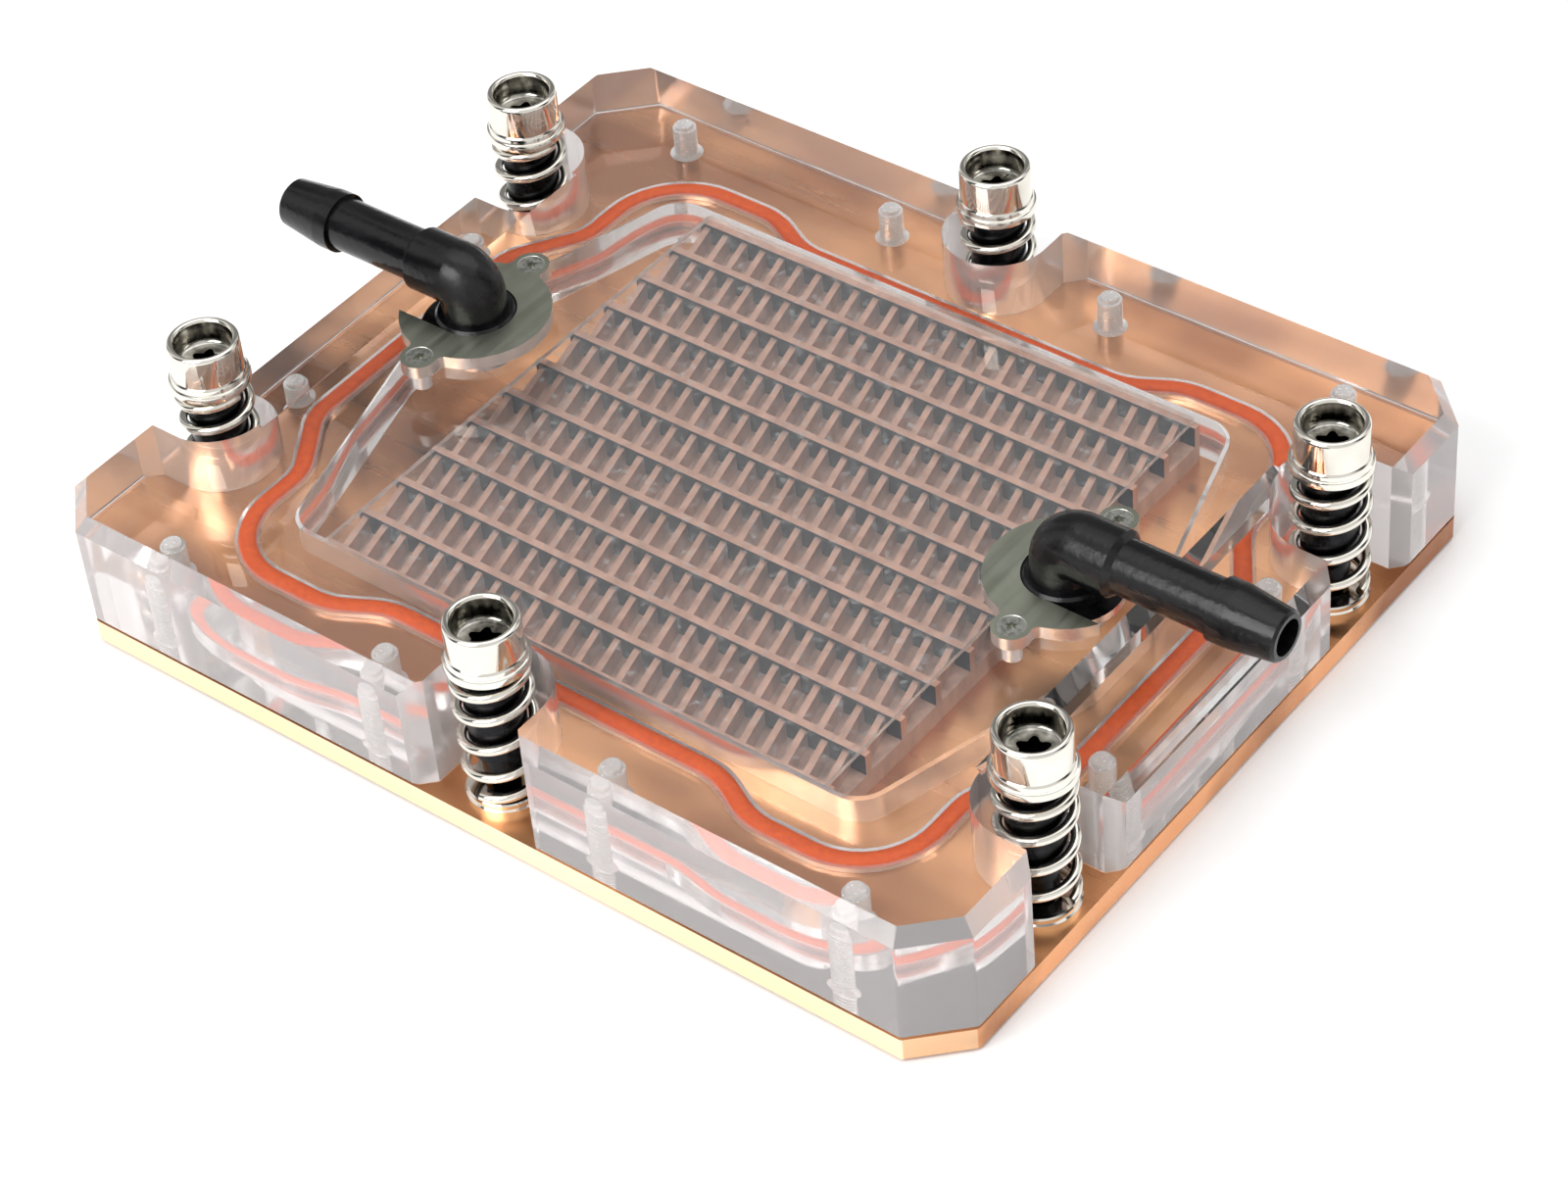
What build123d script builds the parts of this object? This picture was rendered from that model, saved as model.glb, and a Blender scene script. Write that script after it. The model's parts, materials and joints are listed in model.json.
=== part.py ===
from build123d import *
from math import cos, radians, sin, sqrt, tan
import os

os.makedirs("parts", exist_ok=True)

# Liquid cooling cold plate for a server processor.
# Origin: centre of the contact face. X is the long side, Y the short side, Z is up.
# All sizes are in mm.

# Base plate and cover outline
PLATE_L = 118.0
PLATE_W = 98.0
PLATE_T = 3.0
CORNER_CUT = 5.4
COVER_T = 14.2
TOP_BEVEL = 1.5
BOTTOM_BEVEL = 0.4
EDGE_BREAK = 0.3

# Lowered ledges of the cover under the hoses
LEDGE_DEPTH = 10.5
LEDGE_DROP = 3.4

# Spring screws and their notches
NOTCH_R = 6.3
NOTCH_INSET_X = 5.0
NOTCH_Y = 26.5
NOTCH_INSET_Y = 5.4
MOUTH_BEVEL = 1.6
CAP_R = 4.0
CAP_TOP = 26.4
CAP_WALL_H = 3.9
SKIRT_R = 4.5
SKIRT_H = 1.8
CAP_RECESS_R = 3.15
CAP_RECESS_DEPTH = 3.0
STAR_R = 1.95
STAR_DEPTH = 1.4
SLEEVE_R = 3.1
SHOULDER_R = 2.2
THREAD_R = 1.5
THREAD_L = 5.2
TIP_LIFT = 0.2
SPRING_R = 4.35
WIRE_R = 0.55
SPRING_TURNS = 4.5
SEAT_R = 4.1
SEAT_T = 1.2
PRESS_TRAVEL = 4.5
RING_R = 2.8
RING_T = 0.6
RING_POCKET_R = 3.2
RING_POCKET_DEPTH = 1.3

# Screws that hold the cover from below
COVER_SCREW_R = 1.25
COVER_SCREW_END = 7.6
COVER_SCREW_HEAD_R = 2.3
COVER_HOLE_R = 1.4
COVER_HOLE_TOP = 11.0
COVER_HOLE_MOUTH_R = 2.0
ROW_CORNER_INSET = 14.0
ROW_NOTCH_OFFSET = 8.7
LONG_ROW_INSET = 5.5
SIDE_SCREW_INSET = 5.2
SIDE_SCREW_Y = 15.0

# Seal between the cover and the base
GASKET_W = 2.0
GASKET_H = 1.5
GASKET_SIDE_GAP = 0.15
GASKET_NOTCH_GAP = 1.8
GASKET_SCREW_GAP = 2.0
GASKET_WAIST_GAP = 3.2
GASKET_BULGE = 3.2
GASKET_SLOPE_L = 6.0
GASKET_BULGE_L = 16.5
GASKET_ROUND = 6.0
GASKET_BULGE_SHARE = 0.63

# Water cavity and fin core
CAVITY_WALL = 0.85
CAVITY_CORNER_INSET = 1.3
HEADER_WALL = 2.35
HEADER_Y = 5.0
CAVITY_CORNER_R = 4.0
HEADER_CORNER_R = 7.0
CORE_SIDE_GAP = 0.6
CORE_PORT_GAP = 5.6
CORE_H = 5.0
CELL_DEPTH = 2.6
RIB_COUNT = 12
RIB_T = 0.9
FIN_COUNT = 25
FIN_T = 0.8
FIN_SLANT = 1.3
FIN_END = 1.7
FIN_DROP = 0.4
SHEET_T = 0.6
SHEET_END_GAP = 0.6
SHEET_HEAD_GAP = 0.4

# Hose elbows
ELBOW_WALL = 7.0
PORT_R = 4.0
STEM_LIFT = 0.6
FLANGE_R = 6.2
FLANGE_T = 1.7
FLANGE_GAP = 0.05
COLLAR_R = 4.5
COLLAR_TOP = 18.9
BODY_R = 3.65
BEND_R = 2.2
BARB_Z = 23.0
BODY_END = 6.7
TUBE_R = 3.0
RIDGE_R = 3.45
RIDGE_START = 18.6
RIDGE_END = 20.4
BARB_L = 26.2
BARB_TIP_R = 2.65
BORE_R = 2.0
WEB_T = 1.2
SEAL_SECTION_R = 0.6
SEAL_Z = 12.4

# Clips that hold the elbows down
CLIP_R = 8.5
CLIP_T = 1.5
CLIP_SLOT = 4.6
EAR_Y = 9.5
EAR_R = 2.1
CLIP_SCREW_R = 1.0
CLIP_SCREW_HEAD_R = 1.5
CLIP_SCREW_L = 6.0
CLIP_SOCKET_R = 0.6

# Clearances
RUN_GAP = 0.05
HOLE_GAP = 0.1

HALF_L = PLATE_L / 2
HALF_W = PLATE_W / 2
COVER_TOP = PLATE_T + COVER_T
SEAT_TOP = PLATE_T + SEAT_T
SKIRT_BOTTOM = CAP_TOP - CAP_WALL_H - SKIRT_H
CORE_TOP = PLATE_T + CORE_H
CLIP_TOP = COVER_TOP + CLIP_T
HOLE_SHAFT_R = SHOULDER_R + RUN_GAP

# Seal line, then the water space inside it, then the core and the elbows inside that
GASKET_GROOVE_W = GASKET_W + 2 * GASKET_SIDE_GAP
GASKET_PASS_Y = HALF_W - NOTCH_INSET_Y - NOTCH_R - GASKET_NOTCH_GAP
GASKET_SIDE_X = HALF_L - SIDE_SCREW_INSET - COVER_HOLE_MOUTH_R - GASKET_SCREW_GAP
GASKET_WAIST_X = HALF_L - NOTCH_INSET_X - NOTCH_R - GASKET_WAIST_GAP
CAVITY_Y = GASKET_PASS_Y - GASKET_GROOVE_W / 2 - CAVITY_WALL
CAVITY_TOP = CORE_TOP + SHEET_T + SHEET_HEAD_GAP
HEADER_X = GASKET_SIDE_X - GASKET_GROOVE_W / 2 - HEADER_WALL
ELBOW_X = HEADER_X - ELBOW_WALL
CAVITY_X = ELBOW_X - CAVITY_CORNER_INSET
CORE_L = 2 * (ELBOW_X - CORE_PORT_GAP)
CORE_W = 2 * (CAVITY_Y - CORE_SIDE_GAP)
STEM_END = CAVITY_TOP + STEM_LIFT


def notch_places():
    """Centre and opening direction, in degrees, of each spring screw notch."""
    x = HALF_L - NOTCH_INSET_X
    y = HALF_W - NOTCH_INSET_Y
    return [
        (-x, -NOTCH_Y, 180),
        (-x, NOTCH_Y, 180),
        (0.0, y, 90),
        (x, NOTCH_Y, 0),
        (0.0, -y, 270),
        (x, -NOTCH_Y, 0),
    ]


def cover_screw_places():
    """The twelve cover screws: four along each long side and two at each end."""
    places = []
    for sy in (-1, 1):
        for x in (NOTCH_R + ROW_NOTCH_OFFSET, HALF_L - ROW_CORNER_INSET):
            for sx in (-1, 1):
                places.append((sx * x, sy * (HALF_W - LONG_ROW_INSET)))
    for sx in (-1, 1):
        for sy in (-1, 1):
            places.append((sx * (HALF_L - SIDE_SCREW_INSET), sy * SIDE_SCREW_Y))
    return places


def clip_screw_places():
    return [(sx * ELBOW_X, sy * EAR_Y) for sx in (-1, 1) for sy in (-1, 1)]


def outline(cut, inset=0.0):
    """Rectangle of the plate with its four corners cut at 45 degrees."""
    x = HALF_L - inset
    y = HALF_W - inset
    c = cut - inset * (2 - sqrt(2))
    pts = [
        (x - c, -y), (x, -y + c), (x, y - c), (x - c, y),
        (-x + c, y), (-x, y - c), (-x, -y + c), (-x + c, -y),
    ]
    return make_face(Polyline(*pts, close=True))


def rounded_loop(points, radii):
    """Closed outline through the points with a round of its own at each corner."""
    count = len(points)
    starts = []
    ends = []
    mids = []
    for i in range(count):
        p = Vector(*points[i])
        a = (Vector(*points[i - 1]) - p).normalized()
        b = (Vector(*points[(i + 1) % count]) - p).normalized()
        half = a.get_angle(b) / 2
        r = radii[i]
        reach = r / tan(radians(half))
        bisector = (a + b).normalized()
        centre = p + bisector * (r / sin(radians(half)))
        starts.append(p + a * reach)
        ends.append(p + b * reach)
        mids.append(centre - bisector * r)
    edges = []
    for i in range(count):
        edges.append(Edge.make_three_point_arc(starts[i], mids[i], ends[i]))
        edges.append(Edge.make_line(ends[i], starts[(i + 1) % count]))
    return Face(Wire(edges))


def four_way(quarter):
    """Mirror the corner points of one quarter into a closed loop, counter-clockwise."""
    first = [(x, y) for x, y, r in quarter]
    radii = [r for x, y, r in quarter]
    pts = [(x, y) for x, y in first]
    pts += [(-x, y) for x, y in reversed(first)]
    pts += [(-x, -y) for x, y in first]
    pts += [(x, -y) for x, y in reversed(first)]
    return pts, radii + radii[::-1] + radii + radii[::-1]


def gasket_line():
    """Face inside the centre line of the seal, which steps round every notch."""
    bulge_y = GASKET_PASS_Y + GASKET_BULGE
    bulge_x = GASKET_WAIST_X - GASKET_BULGE_L
    waist_y = NOTCH_Y - GASKET_W
    bulge_r = GASKET_BULGE_SHARE * (bulge_y - waist_y)
    side_y = waist_y - (GASKET_SIDE_X - GASKET_WAIST_X) * 1.5
    quarter = [
        (GASKET_SIDE_X, side_y, GASKET_ROUND),
        (GASKET_WAIST_X, waist_y, GASKET_ROUND),
        (GASKET_WAIST_X, bulge_y, bulge_r),
        (bulge_x, bulge_y, bulge_r),
        (bulge_x - GASKET_SLOPE_L, GASKET_PASS_Y, bulge_r),
    ]
    pts, radii = four_way(quarter)
    return rounded_loop(pts, radii)


def gasket_band(width, z0, height):
    line = gasket_line()
    outer = offset(line, amount=width / 2)
    inner = offset(line, amount=-width / 2)
    return Pos(0, 0, z0) * extrude(outer - inner, height)


def cavity_shape():
    """Plan of the water space: a rectangle that fans out to each hose port."""
    quarter = [
        (HEADER_X, HEADER_Y, HEADER_CORNER_R),
        (CAVITY_X, CAVITY_Y, CAVITY_CORNER_R),
    ]
    pts, radii = four_way(quarter)
    return rounded_loop(pts, radii)


def notch_cutter(z0, height):
    """Round-ended slot, opened towards +X, with bevelled mouth corners."""
    reach = NOTCH_INSET_X + 3.0
    bevel_x = NOTCH_INSET_X - MOUTH_BEVEL
    slot = Circle(NOTCH_R) + Pos(reach / 2, 0) * Rectangle(reach, 2 * NOTCH_R)
    wide = NOTCH_R + MOUTH_BEVEL * (reach - bevel_x) / MOUTH_BEVEL
    mouth = Polyline(
        (bevel_x, -NOTCH_R), (reach, -wide), (reach, wide), (bevel_x, NOTCH_R), close=True
    )
    return Pos(0, 0, z0) * extrude(slot + make_face(mouth), height)


def countersunk_hole(r, head_r, length):
    """Hole that starts at z = 0 with a 90 degree countersink and goes up."""
    cone = Cone(head_r, r, head_r - r, align=(Align.CENTER, Align.CENTER, Align.MIN))
    shaft = Cylinder(r, length, align=(Align.CENTER, Align.CENTER, Align.MIN))
    return cone + shaft


def rod(r, z0, z1):
    return Pos(0, 0, z0) * Cylinder(r, z1 - z0, align=(Align.CENTER, Align.CENTER, Align.MIN))


def turned(points):
    """Solid turned about Z from (radius, height) corners."""
    face = make_face(Polyline(*[(r, 0, z) for r, z in points], close=True))
    return revolve(face, Axis.Z)


def base_plate():
    plate = extrude(outline(CORNER_CUT), PLATE_T)
    lower = [e for e in plate.edges() if e.center().Z < 0.01]
    plate = chamfer(lower, EDGE_BREAK)
    upright = plate.edges().filter_by(Axis.Z)
    plate = fillet(upright, 2 * EDGE_BREAK)
    for x, y in cover_screw_places():
        hole = countersunk_hole(COVER_SCREW_R + HOLE_GAP, COVER_SCREW_HEAD_R + HOLE_GAP, PLATE_T)
        plate -= Pos(x, y, 0) * hole
    for x, y, turn in notch_places():
        plate -= Pos(x, y, 0) * rod(HOLE_SHAFT_R, -1, PLATE_T + 1)
        plate -= Pos(x, y, 0) * rod(RING_POCKET_R, -1, RING_POCKET_DEPTH)
    return plate


def fin_core():
    """Block with rows of cells in its top: ribs along the flow, slanted low fins between them."""
    step_y = (CORE_W - RIB_T) / (RIB_COUNT - 1)
    step_x = (CORE_L - 2 * FIN_END) / (FIN_COUNT - 1)
    lean = FIN_SLANT / 2
    end = CORE_L / 2
    # the X range of every gap between two fins, half way up its row
    starts = [-end + FIN_END + FIN_T / 2 + i * step_x for i in range(FIN_COUNT - 1)]
    cells = []
    mouths = []
    for j in range(RIB_COUNT - 1):
        y0 = -CORE_W / 2 + RIB_T + j * step_y
        y1 = y0 + step_y - RIB_T
        for x0 in starts:
            x1 = x0 + step_x - FIN_T
            corners = [(x0 + lean, y0), (x1 + lean, y0), (x1 - lean, y1), (x0 - lean, y1)]
            cells.append(Wire.make_polygon([Vector(x, y) for x, y in corners]))
        last = end - FIN_END + FIN_T / 2
        first = -last
        for out, x in ((end + 1, last), (-end - 1, first)):
            mouth = Polyline((x + lean, y0), (out, y0), (out, y1), (x - lean, y1), close=True)
            mouths.append(make_face(mouth))
    plan = Sketch() + Face(Wire.make_rect(CORE_L, CORE_W), cells) - mouths
    low = CORE_H - CELL_DEPTH
    fins = Pos(0, 0, PLATE_T + low) * extrude(plan, CELL_DEPTH - FIN_DROP, dir=(0, 0, 1))
    block = Pos(0, 0, PLATE_T + low / 2) * Box(CORE_L, CORE_W, low)
    ribs = []
    for j in range(RIB_COUNT):
        y = -CORE_W / 2 + RIB_T / 2 + j * step_y
        ribs.append(Pos(0, y, CORE_TOP - FIN_DROP / 2) * Box(CORE_L, RIB_T, FIN_DROP))
    return block.fuse(fins, *ribs)


def core_sheet():
    size_x = CORE_L - 2 * SHEET_END_GAP
    return Pos(0, 0, CORE_TOP + SHEET_T / 2) * Box(size_x, CORE_W, SHEET_T)


def cover():
    body = Pos(0, 0, PLATE_T) * extrude(outline(CORNER_CUT), COVER_T)
    upper = [e for e in body.edges() if e.center().Z > COVER_TOP - 0.01]
    body = chamfer(upper, TOP_BEVEL)
    lower = [e for e in body.edges() if e.center().Z < PLATE_T + 0.01]
    body = chamfer(lower, BOTTOM_BEVEL)
    # ledges under the two hoses
    step_x = HALF_L - LEDGE_DEPTH
    ledge_z = COVER_TOP - LEDGE_DROP
    section = [
        (step_x - TOP_BEVEL, COVER_TOP), (step_x, COVER_TOP - TOP_BEVEL), (step_x, ledge_z),
        (HALF_L - TOP_BEVEL, ledge_z), (HALF_L + 1, ledge_z - TOP_BEVEL - 1),
        (HALF_L + 1, COVER_TOP + 1), (step_x - TOP_BEVEL, COVER_TOP + 1),
    ]
    flat = make_face(Polyline(*[(x, 0, z) for x, z in section], close=True))
    ledge = extrude(flat, NOTCH_Y, dir=(0, 1, 0)) + extrude(flat, NOTCH_Y, dir=(0, -1, 0))
    body -= ledge
    body -= ledge.rotate(Axis.Z, 180)
    for x, y, turn in notch_places():
        cutter = notch_cutter(PLATE_T - 1, COVER_T + 2)
        body -= Pos(x, y, 0) * Rot(0, 0, turn) * cutter
    # water space, seal groove and ports
    body -= Pos(0, 0, PLATE_T - 1) * extrude(cavity_shape(), CAVITY_TOP - PLATE_T + 1)
    body -= gasket_band(GASKET_GROOVE_W, PLATE_T - 1, GASKET_H + 1)
    for sx in (-1, 1):
        port = rod(PORT_R + RUN_GAP, CAVITY_TOP - 1, COVER_TOP + 1)
        seat = rod(FLANGE_R + RUN_GAP, COVER_TOP - FLANGE_T, COVER_TOP + 1)
        body -= Pos(sx * ELBOW_X, 0, 0) * (port + seat)
    # blind screw holes
    for x, y in cover_screw_places():
        hole = countersunk_hole(COVER_HOLE_R, COVER_HOLE_MOUTH_R, COVER_HOLE_TOP - PLATE_T)
        tip_h = COVER_HOLE_R * 0.6
        tip = Cone(COVER_HOLE_R, 0, tip_h, align=(Align.CENTER, Align.CENTER, Align.MIN))
        hole += Pos(0, 0, COVER_HOLE_TOP - PLATE_T) * tip
        body -= Pos(x, y, PLATE_T) * hole
    for x, y in clip_screw_places():
        end = CLIP_TOP - CLIP_SCREW_L - 0.5
        body -= Pos(x, y, 0) * rod(CLIP_SCREW_R + RUN_GAP, end, COVER_TOP + 1)
    return body


def gasket():
    return gasket_band(GASKET_W, PLATE_T, GASKET_H)


def cover_screws():
    """Countersunk screws from below, heads just inside the underside."""
    sunk = HOLE_GAP
    head_h = COVER_SCREW_HEAD_R - COVER_SCREW_R
    screw = Pos(0, 0, sunk) * Cone(
        COVER_SCREW_HEAD_R, COVER_SCREW_R, head_h, align=(Align.CENTER, Align.CENTER, Align.MIN)
    )
    screw += rod(COVER_SCREW_R, sunk + head_h, COVER_SCREW_END)
    socket = extrude(RegularPolygon(0.75, 6), 1.2)
    screw -= Pos(0, 0, -0.2) * socket
    return Compound([Pos(x, y, 0) * screw.solid() for x, y in cover_screw_places()])


def star(r, lobes=6):
    """Six-lobe drive socket outline: blunt points at r, hollows at 0.7 r."""
    pts = []
    for i in range(lobes):
        for share, turn in ((1.0, -7), (1.0, 7), (0.7, 24), (0.7, 36)):
            a = radians(360 * i / lobes + turn)
            pts.append((share * r * cos(a), share * r * sin(a)))
    return make_face(Polyline(*pts, close=True))


def screw_cap():
    """Bright cap with a rim, a deep round recess, a drive socket and a two-step skirt."""
    skirt_step = SKIRT_H * 0.45
    wall_low = CAP_TOP - CAP_WALL_H
    rim = 0.45
    inner_rim = 0.25
    recess_z = CAP_TOP - CAP_RECESS_DEPTH
    floor_z = SKIRT_BOTTOM
    cap = turned([
        (0, floor_z), (SKIRT_R, floor_z), (SKIRT_R, floor_z + SKIRT_H - skirt_step),
        (SKIRT_R - 0.2, wall_low - 0.1), (CAP_R, wall_low), (CAP_R, CAP_TOP - rim),
        (CAP_R - rim, CAP_TOP), (CAP_RECESS_R + inner_rim, CAP_TOP),
        (CAP_RECESS_R, CAP_TOP - inner_rim), (CAP_RECESS_R, recess_z + 0.5),
        (CAP_RECESS_R - 0.5, recess_z), (0, recess_z),
    ])
    cap -= Pos(0, 0, recess_z - STAR_DEPTH) * extrude(star(STAR_R), STAR_DEPTH + 1)
    return cap


def screw_shank():
    """Dark sleeve and shoulder under the cap, then the thread with its ring groove."""
    sleeve_low = SEAT_TOP + PRESS_TRAVEL + 0.3
    thread_top = TIP_LIFT + THREAD_L
    groove_z = RING_POCKET_DEPTH - RUN_GAP - RING_T
    gap = RUN_GAP
    groove_r = THREAD_R - 0.35
    shank = turned([
        (0, TIP_LIFT), (THREAD_R - 0.3, TIP_LIFT), (THREAD_R, TIP_LIFT + 0.3),
        (THREAD_R, groove_z - gap), (groove_r, groove_z - gap),
        (groove_r, groove_z + RING_T + gap), (THREAD_R, groove_z + RING_T + gap),
        (THREAD_R, thread_top), (SHOULDER_R, thread_top + 0.4),
        (SHOULDER_R, sleeve_low), (SLEEVE_R - 0.3, sleeve_low),
        (SLEEVE_R, sleeve_low + 0.3), (SLEEVE_R, SKIRT_BOTTOM), (0, SKIRT_BOTTOM),
    ])
    return shank


def retaining_ring():
    """Open spring ring that keeps the screw in the plate."""
    z0 = RING_POCKET_DEPTH - RUN_GAP - RING_T
    inner = THREAD_R - 0.35 + RUN_GAP
    ring = rod(RING_R, z0, z0 + RING_T) - rod(inner, z0 - 1, z0 + RING_T + 1)
    ring -= Pos(RING_R, 0, z0 + RING_T / 2) * Box(2 * RING_R, 1.3, 2 * RING_T)
    return ring


def spring_seat():
    """Stepped ring that stands on the plate and carries the spring."""
    return turned([
        (HOLE_SHAFT_R, PLATE_T), (SEAT_R + 0.2, PLATE_T), (SEAT_R + 0.2, PLATE_T + 0.45),
        (SEAT_R, PLATE_T + 0.6), (SEAT_R, SEAT_TOP - 0.15), (SEAT_R - 0.15, SEAT_TOP),
        (HOLE_SHAFT_R, SEAT_TOP),
    ])


def mount_spring():
    """Helical compression spring between the seat and the cap."""
    height = SKIRT_BOTTOM - SEAT_TOP - 2 * WIRE_R
    mean_r = SPRING_R - WIRE_R
    pitch = height / SPRING_TURNS
    path = Helix(pitch, height, mean_r)
    start = Plane(origin=path @ 0, z_dir=path % 0)
    wire = sweep(start * RegularPolygon(WIRE_R, 6), path=path, is_frenet=True)
    return Pos(0, 0, SEAT_TOP + WIRE_R) * wire


def bent_pipe(r, z0, x1):
    """Round pipe that rises from z0 and runs level to x1, with a round outside of the corner."""
    low = BARB_Z - BEND_R
    section = Circle(r)
    if r > BEND_R:
        section -= Pos(BEND_R + r, 0) * Rectangle(2 * r, 2 * r)
    quarter = revolve(Pos(0, 0, low) * section, Axis((BEND_R, 0, low), (0, 1, 0)), 90)
    level = Pos(BEND_R, 0, BARB_Z) * Rot(0, 90, 0) * rod(r, 0, x1 - BEND_R)
    return rod(r, z0, low) + quarter + level


def elbow():
    """Hose elbow about the Z axis, its barb towards +X."""
    bend = bent_pipe(BODY_R, COLLAR_TOP - 1, BODY_END)
    ease = BODY_R - TUBE_R
    profile = [
        (0, BODY_END), (BODY_R, BODY_END), (TUBE_R, BODY_END + ease),
        (TUBE_R, RIDGE_START), (RIDGE_R, RIDGE_START), (RIDGE_R, RIDGE_END),
        (BARB_TIP_R + 0.15, BARB_L - 0.3), (BARB_TIP_R - 0.15, BARB_L), (0, BARB_L),
    ]
    barb = turned(profile)
    barb = Pos(0, 0, BARB_Z) * Rot(0, 90, 0) * barb
    groove_h = 2 * SEAL_SECTION_R + 0.2
    groove_r = PORT_R - 2 * SEAL_SECTION_R + 0.05
    flange_low = COVER_TOP - FLANGE_T + FLANGE_GAP
    flange_top = COVER_TOP - FLANGE_GAP
    stem = turned([
        (0, STEM_END), (PORT_R - 0.4, STEM_END), (PORT_R, STEM_END + 0.4),
        (PORT_R, SEAL_Z - groove_h / 2), (groove_r, SEAL_Z - groove_h / 2),
        (groove_r, SEAL_Z + groove_h / 2), (PORT_R, SEAL_Z + groove_h / 2),
        (PORT_R, flange_low), (FLANGE_R, flange_low), (FLANGE_R, flange_top),
        (COLLAR_R, flange_top), (COLLAR_R, COLLAR_TOP - 0.3),
        (COLLAR_R - 0.3, COLLAR_TOP), (0, COLLAR_TOP),
    ])
    web = make_face(Polyline(
        (1, 0, COLLAR_TOP - 0.5), (COLLAR_R - 0.35, 0, COLLAR_TOP - 0.5),
        (COLLAR_R - 0.35, 0, COLLAR_TOP), (BODY_END - 0.3, 0, BARB_Z - BODY_R + 0.4),
        (BODY_END - 0.3, 0, BARB_Z), (1, 0, BARB_Z), close=True,
    ))
    web = extrude(web, WEB_T / 2, both=True)
    solid = stem + bend + barb + web
    return solid - bent_pipe(BORE_R, STEM_END - 1, BARB_L + 1)


def elbow_seal():
    """Seal ring in the groove of the stem, filling the gap to the port."""
    inner = PORT_R - 2 * SEAL_SECTION_R + 0.05
    h = SEAL_SECTION_R
    b = SEAL_SECTION_R / 2
    return Pos(0, 0, SEAL_Z) * turned([
        (inner + b, -h), (PORT_R - b, -h), (PORT_R + 0.03, 0),
        (PORT_R - b, h), (inner + b, h), (inner + 0.02, 0),
    ])


def clip():
    """Open steel clip about the elbow, with two screw ears; its slot opens towards +X."""
    plan = Circle(CLIP_R)
    for sy in (-1, 1):
        ear = Pos(0, sy * EAR_Y) * Circle(EAR_R)
        plan += ear
    corners = [v for v in plan.vertices() if abs(v.Y) > CLIP_SLOT]
    plan = fillet(corners, 0.8)
    plan -= Circle(CLIP_SLOT)
    plan -= Pos(CLIP_R, 0) * Rectangle(2 * CLIP_R, 2 * CLIP_SLOT - 0.1)
    plate = Pos(0, 0, COVER_TOP) * extrude(plan, CLIP_T)
    for sy in (-1, 1):
        hole = countersunk_hole(CLIP_SCREW_R + RUN_GAP, CLIP_SCREW_HEAD_R + RUN_GAP, CLIP_T + 1)
        plate -= Pos(0, sy * EAR_Y, CLIP_TOP) * Rot(180, 0, 0) * hole
    return plate


def clip_screws(sx):
    """Two small countersunk screws of one clip."""
    head_h = CLIP_SCREW_HEAD_R - CLIP_SCREW_R
    tip = CLIP_TOP - CLIP_SCREW_L
    screw = turned([
        (0, tip), (CLIP_SCREW_R - 0.25, tip), (CLIP_SCREW_R, tip + 0.25),
        (CLIP_SCREW_R, CLIP_TOP - head_h - RUN_GAP), (CLIP_SCREW_HEAD_R, CLIP_TOP - RUN_GAP),
        (0, CLIP_TOP - RUN_GAP),
    ])
    screw -= Pos(0, 0, CLIP_TOP - 0.8) * extrude(star(CLIP_SOCKET_R), 1)
    return Compound([Pos(sx * ELBOW_X, sy * EAR_Y, 0) * screw.solid() for sy in (-1, 1)])


def save(shape, name):
    shape.label = name
    export_step(shape, "parts/" + name + ".step")
    print(name, round(shape.volume, 1))


def main():
    save(base_plate(), "base_plate")
    save(fin_core(), "fin_core")
    save(core_sheet(), "core_sheet")
    save(cover(), "cover")
    save(gasket(), "gasket")
    save(cover_screws(), "cover_screws")
    elbow_right = elbow()
    clip_right = clip()
    for name, sx, turn in (("inlet", 1, 0), ("outlet", -1, 180)):
        place = Pos(sx * ELBOW_X, 0, 0) * Rot(0, 0, turn)
        save(place * elbow_right, name + "_elbow")
        save(place * elbow_seal(), name + "_seal")
        save(place * clip_right, name + "_clip")
        save(clip_screws(sx), name + "_clip_screws")
    cap = screw_cap()
    shank = screw_shank()
    ring = retaining_ring()
    seat = spring_seat()
    spring = mount_spring()
    for i, (x, y, turn) in enumerate(notch_places(), 1):
        place = Pos(x, y, 0) * Rot(0, 0, turn)
        save(place * cap, "screw_cap_" + str(i))
        save(place * shank, "screw_shank_" + str(i))
        save(place * ring, "screw_ring_" + str(i))
        save(place * seat, "spring_seat_" + str(i))
        save(place * spring, "mount_spring_" + str(i))


main()
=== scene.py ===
import json
from math import cos, pi, radians, sin, sqrt, tan

import bmesh
import bpy
from mathutils import Matrix, Vector


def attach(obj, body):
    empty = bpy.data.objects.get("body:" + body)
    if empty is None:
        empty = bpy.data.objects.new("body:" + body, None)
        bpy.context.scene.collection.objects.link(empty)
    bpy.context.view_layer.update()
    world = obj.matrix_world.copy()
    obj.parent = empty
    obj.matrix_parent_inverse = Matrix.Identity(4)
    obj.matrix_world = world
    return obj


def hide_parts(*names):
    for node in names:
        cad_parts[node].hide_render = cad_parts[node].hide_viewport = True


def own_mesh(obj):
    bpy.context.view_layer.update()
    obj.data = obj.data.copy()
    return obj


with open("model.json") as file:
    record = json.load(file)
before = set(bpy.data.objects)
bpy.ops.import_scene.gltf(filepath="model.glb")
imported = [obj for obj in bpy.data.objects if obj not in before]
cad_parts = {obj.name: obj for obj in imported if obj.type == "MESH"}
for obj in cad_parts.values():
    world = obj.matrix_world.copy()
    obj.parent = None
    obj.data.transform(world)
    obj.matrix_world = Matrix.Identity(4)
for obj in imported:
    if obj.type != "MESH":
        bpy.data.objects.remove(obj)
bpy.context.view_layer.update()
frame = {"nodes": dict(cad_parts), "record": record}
nodes = frame["nodes"]

MM = 0.001

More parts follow.
